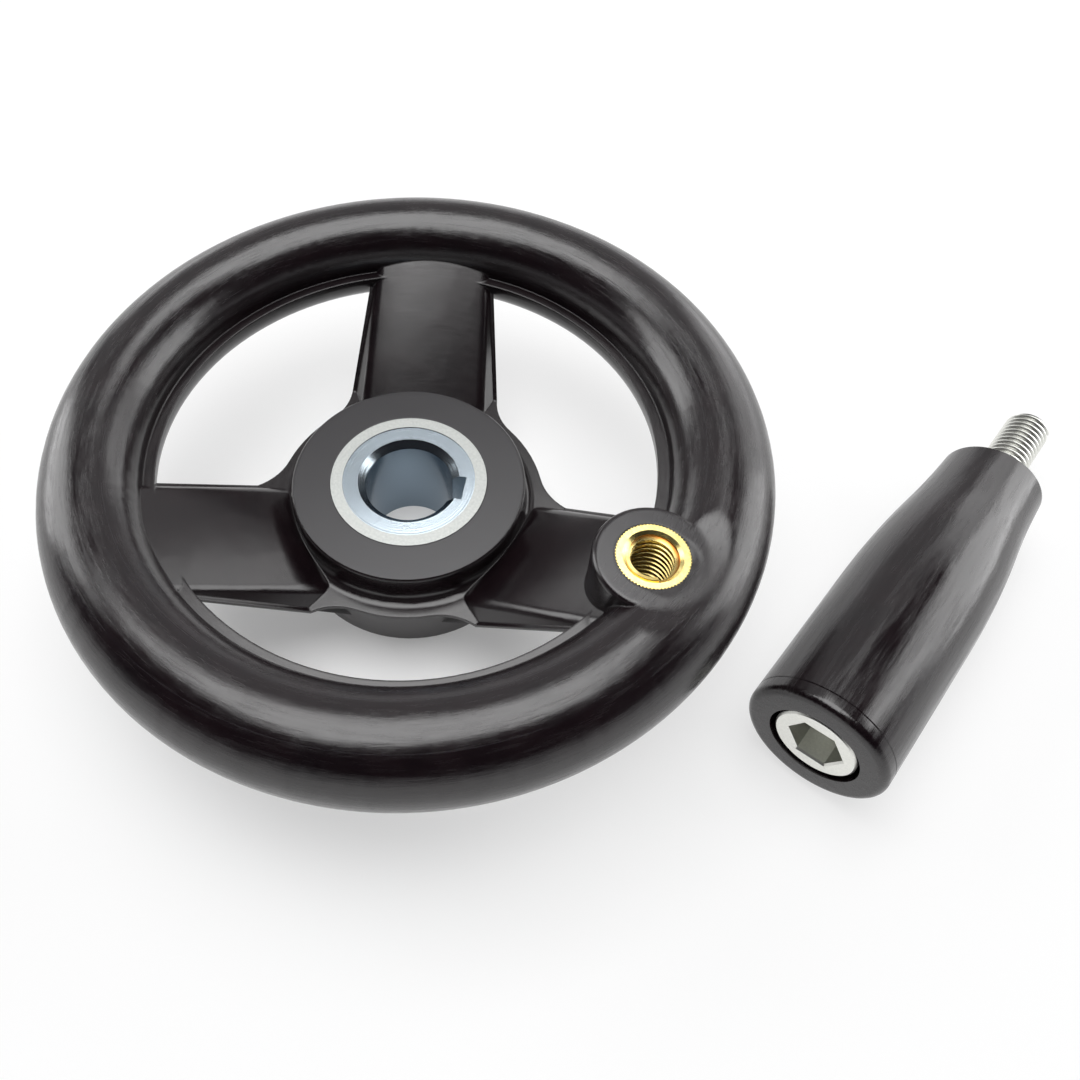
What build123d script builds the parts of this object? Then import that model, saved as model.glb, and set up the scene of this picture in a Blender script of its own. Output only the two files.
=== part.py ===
"""Machine handwheel, 125 mm: a dished three-spoke phenolic wheel with a keyed steel hub bushing, a
threaded brass insert in its handle boss, and its revolving handle lying unscrewed beside it.

Millimetres. The origin is on the bore axis at the underside of the hub, +Z is the bore axis, and the
handle boss is on +X. The wheel stands on its hub.
"""
import os
from math import cos, radians, sin, sqrt, tan

from build123d import *

os.makedirs("parts", exist_ok=True)

# ---- wheel, overall
wheel_d = 125.0             # outside diameter of the rim
dish_h = 30.5               # rim parting plane above the underside of the hub

# ---- rim section: a half round above the parting plane, a wider rounded keel below it
rim_top_r = 8.5             # radius of the half round
rim_keel_h = 9.0            # depth of the keel below the parting plane
land_w = 2.0                # flat land on the window side of the half round
land_drop = 0.6             # land below the parting plane
land_t = 0.9                # height of the land's upright edge

# ---- hub
hub_len = 20.5
hub_face_d = 42.6
hub_collar_w = 3.7          # collar beyond the side of the hub, at the parting plane
hub_foot_d = 44.0           # underside
hub_parting_z = 14.5
hub_neck_r = 2.0            # hollow fillet between the collar and the side of the hub
hub_face_edge = 0.35
hub_foot_edge = 0.8
parting_t = 0.7             # thickness of the flat edge left by the two mould halves

# ---- spokes
spoke_count = 3
spoke_hub_w = 29.4          # width over the parting edges at the hub collar
spoke_rim_w = 24.6          # width over the parting edges at the rim
spoke_rim_drop = 1.2        # parting edges at the rim below the parting plane of the rim
spoke_crown_h = 3.3         # shoulders above the parting edges, at the hub collar
spoke_crown_drop = 0.15     # shoulders at the rim below the parting plane of the rim
spoke_camber = 0.5          # middle of the crown above its shoulders, and of the belly below
spoke_keel_h = 3.4          # belly below the parting edges
parting_w = 0.5             # flat edge standing out at the parting plane
spoke_lean = 36.0           # degrees from upright, sides of the crown and of the belly
spoke_shoulder_r = 3.0      # at the hub
spoke_keel_r = 3.0
spoke_root = 12.0           # a spoke runs on this far inside the collar's edge
spoke_into_rim = 2.5        # and this far inside the rim
spoke_edge_into_rim = 1.5   # parting edge, inside the rim

# ---- handle boss and its insert
boss_d = 18.5
boss_inset = 3.5            # boss axis outside the window edge of the rim
boss_drop = 0.9             # boss face below the top of the rim
boss_blend_w = 4.0          # width of the slope that blends the face into the rim's top
boss_foot = 1.0             # underside of the boss above the underside of the rim
boss_edge_r = 0.9
insert_d = 11.6
insert_len = 13.0
insert_mouth = 0.9          # chamfer at the mouth of the thread
thread_core_d = 6.8         # M8 tapping size
thread_d = 8.0

# ---- hub bushing
bore_d = 16.0
bushing_d = 28.5
bushing_ring_w = 2.15       # flat ring round the face, proud of the turned ring inside it
bushing_step_h = 0.15
bore_chamfer = 1.3
keyway_w = 5.0
keyway_top = 2.3            # depth of the keyway beyond the bore
keyway_angle = 24.0         # degrees from +X

# ---- handle grip
grip_len = 70.0
grip_d = 23.5
grip_edge_r = 1.4           # round at the big end
grip_straight = 31.5        # length of the full diameter
grip_waist_at = 54.6        # where the taper turns hollow
grip_waist_d = 20.6
grip_tip_d = 18.2
grip_tip_edge_r = 0.6

# ---- handle spindle
shank_d = 10.0
head_d = 13.6
head_len = 8.0
head_sunk = 0.3             # head below the end face of the grip
head_edge = 0.3
head_gap = 0.7              # round the head, in its counterbore
running_gap = 0.1           # round the shank
end_play = 0.3              # under the head
shoulder_proud = 0.3        # shank shoulder beyond the small end of the grip
stud_len = 19.0
stud_chamfer = 0.9
hex_af = 8.0
hex_depth = 6.0
hex_mouth_d = 9.8           # light countersink round the socket
hex_mouth_depth = 0.5
hex_drill_d = 7.2           # drill point at the bottom of the socket
hex_drill_depth = 1.4
hex_drill_tip_d = 0.8       # flat left by the chisel edge of the drill

# ---- where the handle lies
handle_beside = 17.6        # centre of the big end beyond the outside of the rim, along X
handle_y = -0.7
handle_heading = 84.0       # degrees from +X, towards the stud
handle_tilt = 2.0           # degrees, stud end down, as its taper lets it rest

# ---- worked out
rim_mid_r = wheel_d / 2 - rim_top_r
rim_in_r = rim_mid_r - rim_top_r - land_w
rim_bottom_z = dish_h - rim_keel_h
rim_top_z = dish_h + rim_top_r
land_z = dish_h - land_drop
hub_face_r = hub_face_d / 2
collar_r = hub_face_r + hub_collar_w
boss_r = boss_d / 2
boss_reach = rim_in_r + boss_inset
boss_face_z = rim_top_z - boss_drop
boss_bottom_z = rim_bottom_z + boss_foot
grip_r = grip_d / 2
handle_x = wheel_d / 2 + handle_beside


# ---- hub bushing
with BuildPart() as hub_bushing:
    with BuildSketch(Plane.XZ):
        with BuildLine():
            Polyline(
                (bore_d / 2, 0),
                (bushing_d / 2, 0),
                (bushing_d / 2, hub_len),
                (bushing_d / 2 - bushing_ring_w, hub_len),
                (bushing_d / 2 - bushing_ring_w, hub_len - bushing_step_h),
                (bore_d / 2 + bore_chamfer, hub_len - bushing_step_h),
                (bore_d / 2, hub_len - bushing_step_h - bore_chamfer),
                close=True,
            )
        make_face()
    revolve(axis=Axis.Z)
    with BuildSketch(Plane.XY):
        with Locations(Location((0, 0, 0), (0, 0, keyway_angle))):
            Rectangle(bore_d / 2 + keyway_top, keyway_w, align=(Align.MIN, Align.CENTER))
    extrude(amount=hub_len, mode=Mode.SUBTRACT)
hub_bushing.part.label = "hub_bushing"
export_step(hub_bushing.part, "parts/hub_bushing.step")


# ---- wheel body
spoke_run = rim_in_r - collar_r
# the flare is tangent to the collar, and to the spoke just before it leaves the collar
flare_r = 0.97 * (spoke_hub_w / 2) ** 2 / (2 * collar_r - spoke_hub_w)


def reach(point):
    """Distance of a point from the bore axis."""
    return sqrt(point.X**2 + point.Y**2)


def half_width(run):
    """Half the width of a spoke over its parting edges, at a distance past the collar's edge."""
    return (spoke_hub_w + (spoke_rim_w - spoke_hub_w) * run / spoke_run) / 2


def edge_z(run):
    """Height of the spoke's parting edges."""
    return hub_parting_z + (dish_h - spoke_rim_drop - hub_parting_z) * run / spoke_run


def shoulder_z(run):
    """Height of the spoke's shoulders."""
    at_hub = hub_parting_z + spoke_crown_h
    return at_hub + (dish_h - spoke_crown_drop - at_hub) * run / spoke_run


with BuildPart() as handwheel_body:
    # spokes, each straight from inside the hub to inside the rim
    lean = tan(radians(spoke_lean))
    for spoke in range(spoke_count):
        turn = 360 / spoke_count * spoke
        out = Vector(cos(radians(turn)), sin(radians(turn)), 0)
        across = Vector(-sin(radians(turn)), cos(radians(turn)), 0)
        for run in (-spoke_root, spoke_run + spoke_into_rim):
            foot = half_width(run) - parting_w
            middle = edge_z(run) - parting_t / 2
            top = shoulder_z(run)
            shoulder = foot - lean * (top - middle)
            bottom = middle - spoke_keel_h
            keel = foot - lean * spoke_keel_h
            with BuildSketch(Plane(origin=out * (collar_r + run), x_dir=across, z_dir=out)) as section:
                with BuildLine():
                    ThreePointArc((-shoulder, top), (0, top + spoke_camber), (shoulder, top))
                    Polyline((shoulder, top), (foot, middle), (keel, bottom))
                    ThreePointArc((keel, bottom), (0, bottom - spoke_camber), (-keel, bottom))
                    Polyline((-keel, bottom), (-foot, middle), (-shoulder, top))
                make_face()
                # the shoulder's round fades where the side of the crown gets low
                wall = (top - middle) / cos(radians(spoke_lean))
                shoulder_r = min(spoke_shoulder_r, 0.8 * wall / tan(radians(45 - spoke_lean / 2)))
                heights = section.vertices().group_by(Axis.Y)
                fillet(heights[-1], shoulder_r)
                fillet(heights[0], spoke_keel_r)
        loft(ruled=True)

    # parting edges of the spokes
    for spoke in range(spoke_count):
        turn = 360 / spoke_count * spoke
        out = Vector(cos(radians(turn)), sin(radians(turn)), 0)
        across = Vector(-sin(radians(turn)), cos(radians(turn)), 0)
        for run in (0, spoke_run + spoke_edge_into_rim):
            with BuildSketch(Plane(origin=out * (collar_r + run), x_dir=across, z_dir=out)):
                with Locations((0, edge_z(run))):
                    Rectangle(2 * half_width(run), parting_t, align=(Align.CENTER, Align.MAX))
        loft(ruled=True)

    # the collar's parting edge, flared out to the spokes
    with BuildSketch(Plane.XY.offset(hub_parting_z)) as collar:
        Circle(collar_r)
        with PolarLocations(0, spoke_count):
            Rectangle(collar_r, spoke_hub_w, align=(Align.MIN, Align.CENTER))
        corners = [corner for corner in collar.vertices() if abs(reach(corner) - collar_r) < 0.01]
        fillet(corners, flare_r)
    extrude(amount=-parting_t)

    # rim
    with BuildSketch(Plane.XZ):
        with BuildLine():
            ThreePointArc((wheel_d / 2, dish_h), (rim_mid_r, rim_top_z), (rim_mid_r - rim_top_r, dish_h))
            Polyline(
                (rim_mid_r - rim_top_r, dish_h),
                (rim_mid_r - rim_top_r, land_z),
                (rim_in_r, land_z),
                (rim_in_r, land_z - land_t),
            )
            EllipticalCenterArc(
                (rim_mid_r, land_z - land_t),
                rim_mid_r - rim_in_r,
                land_z - land_t - rim_bottom_z,
                start_angle=180,
                arc_size=90,
            )
            EllipticalCenterArc((rim_mid_r, dish_h), rim_top_r, rim_keel_h, start_angle=270, arc_size=90)
        make_face()
    revolve(axis=Axis.Z)

    # hub
    with BuildSketch(Plane.XZ):
        with BuildLine():
            Polyline(
                (hub_face_r, hub_parting_z + hub_neck_r),
                (hub_face_r, hub_len - hub_face_edge),
                (hub_face_r - hub_face_edge, hub_len),
                (0, hub_len),
                (0, 0),
                (hub_foot_d / 2 - hub_foot_edge, 0),
                (hub_foot_d / 2, hub_foot_edge),
                (collar_r - parting_w, hub_parting_z - parting_t),
                (collar_r - parting_w, hub_parting_z),
                (hub_face_r + hub_neck_r, hub_parting_z),
            )
            RadiusArc(
                (hub_face_r + hub_neck_r, hub_parting_z), (hub_face_r, hub_parting_z + hub_neck_r), hub_neck_r
            )
        make_face()
    revolve(axis=Axis.Z)

    # handle boss
    with BuildSketch(Plane.XZ):
        with BuildLine():
            Polyline(
                (boss_reach + boss_r, boss_face_z - boss_edge_r),
                (boss_reach + boss_r, boss_bottom_z),
                (boss_reach, boss_bottom_z),
                (boss_reach, boss_face_z),
                (boss_reach + boss_r - boss_edge_r, boss_face_z),
            )
            RadiusArc(
                (boss_reach + boss_r - boss_edge_r, boss_face_z),
                (boss_reach + boss_r, boss_face_z - boss_edge_r),
                boss_edge_r,
            )
        make_face()
    revolve(axis=Axis((boss_reach, 0, 0), (0, 0, 1)))

    # the rim's top is cut away over the boss, and slopes down to its face
    slope_h = 2 * boss_drop
    with Locations((boss_reach, 0, boss_face_z)):
        slope_r = boss_r + boss_blend_w * slope_h / boss_drop
        Cone(boss_r, slope_r, slope_h, align=(Align.CENTER, Align.CENTER, Align.MIN), mode=Mode.SUBTRACT)

    # seats of the bushing and of the insert
    with BuildSketch(Plane.XY):
        Circle(bushing_d / 2)
    extrude(amount=hub_len, mode=Mode.SUBTRACT)
    with BuildSketch(Plane.XY.offset(boss_face_z)):
        with Locations((boss_reach, 0)):
            Circle(insert_d / 2)
    extrude(amount=-insert_len, mode=Mode.SUBTRACT)
handwheel_body.part.label = "handwheel_body"
export_step(handwheel_body.part, "parts/handwheel_body.step")


# ---- brass insert
with BuildPart() as handle_insert:
    with BuildSketch(Plane.XY.offset(boss_face_z)):
        with Locations((boss_reach, 0)):
            Circle(insert_d / 2)
            Circle(thread_core_d / 2, mode=Mode.SUBTRACT)
    extrude(amount=-insert_len)
    mouth = handle_insert.edges().filter_by(GeomType.CIRCLE).group_by(Axis.Z)[-1].sort_by(SortBy.RADIUS)[0]
    chamfer(mouth, length=insert_mouth)
handle_insert.part.label = "handle_insert"
export_step(handle_insert.part, "parts/handle_insert.step")


# ---- handle: the axis runs from the big end to the stud, along the local Z
heading = radians(handle_heading)
tilt = radians(handle_tilt)
taper_drop = grip_r - grip_waist_d / 2
taper_run = grip_waist_at - grip_straight
taper_r = (taper_run**2 + taper_drop**2) / (2 * taper_drop)
# the tilted grip touches the floor on the arc of its taper
handle_z = grip_straight * sin(tilt) + grip_r * cos(tilt) + taper_r * (1 - cos(tilt))
handle_frame = Plane(
    origin=(handle_x, handle_y, handle_z),
    x_dir=(-sin(heading), cos(heading), 0),
    z_dir=(cos(heading) * cos(tilt), sin(heading) * cos(tilt), -sin(tilt)),
)
handle_section = Plane(origin=handle_frame.origin, x_dir=handle_frame.x_dir, z_dir=-handle_frame.y_dir)
handle_axis = Axis(handle_frame.origin, handle_frame.z_dir)

with BuildPart() as handle_grip:
    with BuildSketch(handle_section):
        with BuildLine():
            head_seat = head_sunk + head_len + end_play
            Polyline(
                (shank_d / 2 + running_gap, grip_len),
                (shank_d / 2 + running_gap, head_seat),
                (head_d / 2 + head_gap, head_seat),
                (head_d / 2 + head_gap, 0),
                (grip_r - grip_edge_r, 0),
            )
            RadiusArc((grip_r - grip_edge_r, 0), (grip_r, grip_edge_r), -grip_edge_r)
            Line((grip_r, grip_edge_r), (grip_r, grip_straight))
            belly = TangentArc((grip_r, grip_straight), (grip_waist_d / 2, grip_waist_at), tangent=(0, 1))
            TangentArc(
                (grip_waist_d / 2, grip_waist_at), (grip_tip_d / 2, grip_len - grip_tip_edge_r), tangent=belly % 1
            )
            Polyline(
                (grip_tip_d / 2, grip_len - grip_tip_edge_r),
                (grip_tip_d / 2 - grip_tip_edge_r, grip_len),
                (shank_d / 2 + running_gap, grip_len),
            )
        make_face()
    revolve(axis=handle_axis)
handle_grip.part.label = "handle_grip"
export_step(handle_grip.part, "parts/handle_grip.step")


with BuildPart() as handle_spindle:
    with BuildSketch(handle_section):
        with BuildLine():
            shoulder = grip_len + shoulder_proud
            stud_end = shoulder + stud_len
            Polyline(
                (0, head_sunk),
                (head_d / 2 - head_edge, head_sunk),
                (head_d / 2, head_sunk + head_edge),
                (head_d / 2, head_sunk + head_len),
                (shank_d / 2, head_sunk + head_len),
                (shank_d / 2, shoulder),
                (thread_d / 2, shoulder),
                (thread_d / 2, stud_end - stud_chamfer),
                (thread_d / 2 - stud_chamfer, stud_end),
                (0, stud_end),
                close=True,
            )
        make_face()
    revolve(axis=handle_axis)
    with BuildSketch(handle_frame.offset(head_sunk)):
        RegularPolygon(hex_af / 2, 6, major_radius=False)
    extrude(amount=hex_depth, mode=Mode.SUBTRACT)
    with Locations(handle_frame.offset(head_sunk)):
        mouth_r = hex_mouth_d / 2
        Cone(
            mouth_r,
            mouth_r - hex_mouth_depth,
            hex_mouth_depth,
            align=(Align.CENTER, Align.CENTER, Align.MIN),
            mode=Mode.SUBTRACT,
        )
    with Locations(handle_frame.offset(head_sunk + hex_depth)):
        Cone(
            hex_drill_d / 2,
            hex_drill_tip_d / 2,
            hex_drill_depth,
            align=(Align.CENTER, Align.CENTER, Align.MIN),
            mode=Mode.SUBTRACT,
        )
handle_spindle.part.label = "handle_spindle"
export_step(handle_spindle.part, "parts/handle_spindle.step")
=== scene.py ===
# %% [markdown]
# # A machine handwheel in black phenolic
# The wheel is one phenolic moulding round a steel hub bushing, with a brass insert for its handle.
# The handle lies unscrewed beside it. The CAD frame gives every piece its size and place. These
# cells give each one its surface and its fine detail, and then the light to see it by.

# %% Load the frame
from math import asin, cos, pi, radians, sin, tan

import bmesh
import bpy
from mathutils import Matrix, Vector


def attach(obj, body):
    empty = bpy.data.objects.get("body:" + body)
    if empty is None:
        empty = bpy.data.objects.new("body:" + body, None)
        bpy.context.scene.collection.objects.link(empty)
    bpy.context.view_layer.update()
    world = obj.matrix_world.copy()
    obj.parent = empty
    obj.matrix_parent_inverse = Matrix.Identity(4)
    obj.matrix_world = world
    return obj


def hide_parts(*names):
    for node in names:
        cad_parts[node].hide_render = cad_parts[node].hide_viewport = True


MM = 0.001

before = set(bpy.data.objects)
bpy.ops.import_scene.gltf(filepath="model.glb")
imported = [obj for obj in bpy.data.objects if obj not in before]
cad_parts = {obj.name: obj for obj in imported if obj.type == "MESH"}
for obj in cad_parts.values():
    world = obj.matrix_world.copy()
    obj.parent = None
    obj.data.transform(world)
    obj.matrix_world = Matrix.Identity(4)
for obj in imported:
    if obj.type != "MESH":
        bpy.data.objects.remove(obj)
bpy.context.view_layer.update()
scene = bpy.context.scene
scene.view_settings.view_transform = "Standard"

# %% [markdown]
# ## Camera
# A short lens close above the wheel gives a strong perspective: the near side of the rim looks
# much wider than the far side. A long lens from further off would flatten the wheel. The camera is
# aimed at a point near the hub, level but for a small roll, and the shift slides the frame so that
# the wheel sits left of centre with its handle on the right.

# %% Camera
hub_top = 20.5
camera_place = Vector((68.3, -81.4, 167.3)) * MM
camera_aim = Vector((4.4, 3.95, 30.5)) * MM
camera_roll = radians(-1.41)

camera_data = bpy.data.cameras.new("camera")
camera_data.lens = 33.13
camera_data.sensor_width = 36.0
camera_data.shift_x = 0.0926
camera_data.shift_y = -0.0907
camera_data.clip_start = 0.01
camera = bpy.data.objects.new("camera", camera_data)
scene.collection.objects.link(camera)
camera.location = camera_place
look = (camera_aim - camera_place).to_track_quat("-Z", "Y")
camera.rotation_mode = "QUATERNION"
camera.rotation_quaternion = look @ Matrix.Rotation(camera_roll, 4, "Z").to_quaternion()
scene.camera = camera
hub_centre = Vector((0, 0, hub_top)) * MM
print("camera to hub, mm:", round((camera.location - hub_centre).length / MM, 1))

# %% [markdown]
# ## Material helpers
# Colours are written as sRGB hex codes, as a colour chart gives them, and turned to linear once,
# here. One helper adds any shader node with its settings and links, so that each material below
# reads as a short list of nodes. Without it, every node would take five or six lines.


# %% Material helpers
def colour(hex_code):
    """Linear RGBA from an sRGB hex code."""
    parts = [int(hex_code[i : i + 2], 16) / 255 for i in (1, 3, 5)]
    linear = [p / 12.92 if p <= 0.04045 else ((p + 0.055) / 1.055) ** 2.4 for p in parts]
    return (*linear, 1.0)


def add(tree, kind, settings=None, links=None):
    """Adds a node, sets its properties and inputs, and links inputs from (node, output)."""
    node = tree.nodes.new(kind)
    for name, value in (settings or {}).items():
        if isinstance(name, int) or name in node.inputs:
            node.inputs[name].default_value = value
        else:
            setattr(node, name, value)
    for name, (source, output) in (links or {}).items():
        tree.links.new(source.outputs[output], node.inputs[name])
    return node


def new_material(name):
    """An empty node material."""
    material = bpy.data.materials.new(name)
    material.use_nodes = True
    material.node_tree.nodes.clear()
    return material


phenolic_dark = colour("#0b070a")
phenolic_brown = colour("#1d1316")
phenolic_ior = 1.65
print("phenolic is nearly black:", [round(value, 4) for value in phenolic_brown[:3]])

# %% [markdown]
# ## Buffed phenolic: where a point is
# Phenolic is a hard black thermoset, pressed in a polished mould and then buffed on a wheel. The
# buffing runs round the rim, so its pattern needs to know each point's radius, its direction from
# the wheel's axis and its height. A texture painted on an unwrapped map could do that too, but
# these four nodes follow any shape of wheel with no seam.

# %% Place on the wheel
phenolic = new_material("phenolic_buffed")
tree = phenolic.node_tree
place = add(tree, "ShaderNodeTexCoord")
in_mm = add(
    tree, "ShaderNodeVectorMath", {"operation": "SCALE", "Scale": 1 / MM}, {0: (place, "Object")}
)
flat = add(tree, "ShaderNodeVectorMath", {"operation": "MULTIPLY", 1: (1, 1, 0)}, {0: (in_mm, 0)})
radius = add(tree, "ShaderNodeVectorMath", {"operation": "LENGTH"}, {0: (flat, 0)})
outward = add(tree, "ShaderNodeVectorMath", {"operation": "NORMALIZE"}, {0: (flat, 0)})
height = add(tree, "ShaderNodeSeparateXYZ", links={0: (in_mm, 0)})
print(phenolic.name, "knows its place with", len(tree.nodes), "nodes")

# %% [markdown]
# ## Buffed phenolic: streaks and waves
# Buffing leaves long faint streaks, and moulding leaves a slight waviness. Both are noise. The
# streaks get theirs from the direction, the radius and the height, which stretches the noise round
# the axis. A ring texture would be too regular. The rim was held hardest against the buffing
# wheel, so its streaks are the deepest.

# %% Streaks and waves
streak_width = 0.625  # mm
streak_stretch = 5.0  # noise units per radian, which makes a streak about 7 mm long at the rim
wave_size = 6.25  # mm
spoke_end_r, rim_start_r = 43.0, 50.0
spoke_streaks = 0.2  # their depth as a share of the rim's

round_axis = add(
    tree,
    "ShaderNodeVectorMath",
    {"operation": "SCALE", "Scale": streak_stretch},
    {0: (outward, 0)},
)
round_parts = add(tree, "ShaderNodeSeparateXYZ", links={0: (round_axis, 0)})
streak_place = add(
    tree,
    "ShaderNodeCombineXYZ",
    links={0: (round_parts, 0), 1: (round_parts, 1), 2: (radius, "Value")},
)
streak_noise = add(
    tree,
    "ShaderNodeTexNoise",
    {"noise_dimensions": "4D", "Scale": 1 / streak_width, "Detail": 6.0, "Roughness": 0.72},
    {"Vector": (streak_place, 0), "W": (height, "Z")},
)
on_rim = add(
    tree,
    "ShaderNodeMapRange",
    {"From Min": spoke_end_r, "From Max": rim_start_r, "To Min": spoke_streaks, "To Max": 1.0},
    {"Value": (radius, "Value")},
)
about_middle = add(
    tree, "ShaderNodeMath", {"operation": "SUBTRACT", 1: 0.5}, {0: (streak_noise, "Fac")}
)
streaks = add(
    tree,
    "ShaderNodeMath",
    {"operation": "MULTIPLY_ADD", 2: 0.5},
    {0: (about_middle, 0), 1: (on_rim, 0)},
)
waves = add(
    tree, "ShaderNodeTexNoise", {"Scale": 1 / wave_size, "Detail": 2.0}, {"Vector": (in_mm, 0)}
)
print("streaks", streak_width, "mm wide, waves", wave_size, "mm long")

# %% [markdown]
# ## Buffed phenolic: the faced flats
# The top of the hub and the top of the handle boss were faced on a lathe after moulding. The cut
# goes through the glossy skin into the filled resin, so those two flats are matt and a little
# greyer. A second material on those faces would need the CAD mesh to be cut up. A mask finds them
# instead, by their height and their place. The cutter ran out towards the rim, so it fades there.

# %% Faced flats of the wheel
boss_centre = (47.0, 0.0, 38.1)
flat_tolerance = 0.03
hub_face_r = 21.2
cut_fade_from, cut_fade_to = 46.0, 53.0
boss_matt = 0.5  # the boss was cut more finely, so it is half as matt

at_hub_top = add(
    tree,
    "ShaderNodeMath",
    {"operation": "COMPARE", 1: hub_top, 2: flat_tolerance},
    {0: (height, "Z")},
)
in_hub = add(
    tree, "ShaderNodeMath", {"operation": "LESS_THAN", 1: hub_face_r}, {0: (radius, "Value")}
)
at_boss_top = add(
    tree,
    "ShaderNodeMath",
    {"operation": "COMPARE", 1: boss_centre[2], 2: flat_tolerance},
    {0: (height, "Z")},
)
in_boss = add(
    tree,
    "ShaderNodeMapRange",
    {
        "interpolation_type": "SMOOTHSTEP",
        "From Min": cut_fade_from,
        "From Max": cut_fade_to,
        "To Min": boss_matt,
        "To Max": 0.0,
    },
    {"Value": (height, "X")},
)
hub_flat = add(
    tree, "ShaderNodeMath", {"operation": "MULTIPLY"}, {0: (at_hub_top, 0), 1: (in_hub, 0)}
)
boss_flat = add(
    tree, "ShaderNodeMath", {"operation": "MULTIPLY"}, {0: (at_boss_top, 0), 1: (in_boss, 0)}
)
faced = add(
    tree, "ShaderNodeMath", {"operation": "MAXIMUM"}, {0: (hub_flat, 0), 1: (boss_flat, 0)}
)
print("faced flats at", hub_top, "and", boss_centre[2], "mm")

# %% [markdown]
# ## Buffed phenolic: colour
# Phenolic is almost black with a faint brown tint, which drifts a little with the flow of the
# moulding. Nearly all that the eye gets from it is reflection, so the tint stays this dark.

# %% Colour of the wheel
skin_tint = add(
    tree,
    "ShaderNodeMix",
    {"data_type": "RGBA", 6: phenolic_dark, 7: phenolic_brown},
    {"Factor": (waves, "Fac")},
)
tint = add(
    tree,
    "ShaderNodeMix",
    {"data_type": "RGBA", 7: colour("#1e1b1f")},
    {"Factor": (faced, 0), 6: (skin_tint, 2)},
)
print("colour of the wheel uses", len(tree.nodes), "nodes so far")

# %% [markdown]
# ## Buffed phenolic: gloss
# The streaks move the roughness up and down, which breaks up each reflection along the rim. The
# buffing wheel does not reach the hub's sides, so they stay dull, and the faced flats are matt.

# %% Gloss of the wheel
streak_low, streak_high = 0.36, 0.64
gloss, worn_gloss = 0.13, 0.32
dull_roughness, faced_roughness = 0.45, 0.34
dull_from_r, dull_to_r = 23.0, 36.0
dull_below = 14.3

skin_roughness = add(
    tree,
    "ShaderNodeMapRange",
    {"From Min": streak_low, "From Max": streak_high, "To Min": gloss, "To Max": worn_gloss},
    {"Value": (streaks, 0)},
)
hub_side = add(
    tree,
    "ShaderNodeMapRange",
    {
        "interpolation_type": "SMOOTHSTEP",
        "From Min": dull_from_r,
        "From Max": dull_to_r,
        "To Min": 1.0,
        "To Max": 0.0,
    },
    {"Value": (radius, "Value")},
)
low_down = add(
    tree, "ShaderNodeMath", {"operation": "LESS_THAN", 1: dull_below}, {0: (height, "Z")}
)
dull = add(
    tree, "ShaderNodeMath", {"operation": "MULTIPLY"}, {0: (hub_side, 0), 1: (low_down, 0)}
)
buffed_roughness = add(
    tree,
    "ShaderNodeMix",
    {"data_type": "FLOAT", 3: dull_roughness},
    {"Factor": (dull, 0), 2: (skin_roughness, 0)},
)
roughness = add(
    tree,
    "ShaderNodeMix",
    {"data_type": "FLOAT", 3: faced_roughness},
    {"Factor": (faced, 0), 2: (buffed_roughness, 0)},
)
print("roughness runs from", gloss, "to", dull_roughness)

# %% [markdown]
# ## Buffed phenolic: soft corners
# Moulded corners are never quite sharp. A Bevel node turns the light round them, over 0.4 mm, and
# over 2.4 mm where the boss was blended into the rim by hand. Real rounds on every edge would be
# truer in outline, but the CAD mesh is kept as it is, and at this size only the shading shows.

# %% Soft corners and bumps
corner_round = 0.4 * MM
boss_round = 2.0 * MM
boss_near, boss_far = 12.0, 17.0
rim_side_from, rim_side_to = 48.0, 53.0

from_boss = add(
    tree, "ShaderNodeVectorMath", {"operation": "DISTANCE", 1: boss_centre}, {0: (in_mm, 0)}
)
near_boss = add(
    tree,
    "ShaderNodeMapRange",
    {
        "interpolation_type": "SMOOTHSTEP",
        "From Min": boss_near,
        "From Max": boss_far,
        "To Min": boss_round,
        "To Max": 0.0,
    },
    {"Value": (from_boss, "Value")},
)
rim_side = add(
    tree,
    "ShaderNodeMapRange",
    {"interpolation_type": "SMOOTHSTEP", "From Min": rim_side_from, "From Max": rim_side_to},
    {"Value": (height, "X")},
)
corner_radius = add(
    tree,
    "ShaderNodeMath",
    {"operation": "MULTIPLY_ADD", 2: corner_round},
    {0: (near_boss, 0), 1: (rim_side, 0)},
)
soft_corners = add(tree, "ShaderNodeBevel", {"samples": 6}, {"Radius": (corner_radius, 0)})
wave_bump = add(
    tree,
    "ShaderNodeBump",
    {"Strength": 0.5, "Distance": 0.05 * MM},
    {"Height": (waves, "Fac"), "Normal": (soft_corners, 0)},
)
streak_bump = add(
    tree,
    "ShaderNodeBump",
    {"Strength": 1.0, "Distance": 0.04 * MM},
    {"Height": (streaks, 0), "Normal": (wave_bump, 0)},
)
print("corners rounded over", round(corner_round / MM, 2), "mm and more by the boss")

# %% [markdown]
# ## Mould line of the rim
# The two halves of the mould met where the rim is widest. The joint leaves a hairline there, about
# 0.2 mm wide, all round the outside. It is too fine to need geometry, so it is a groove in the
# bump. Then the shader takes the colour, the gloss and the bumps together.

# %% Mould line of the rim
mould_line_z = 30.5
mould_line_half = 0.11
mould_line_r = 58.0

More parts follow.
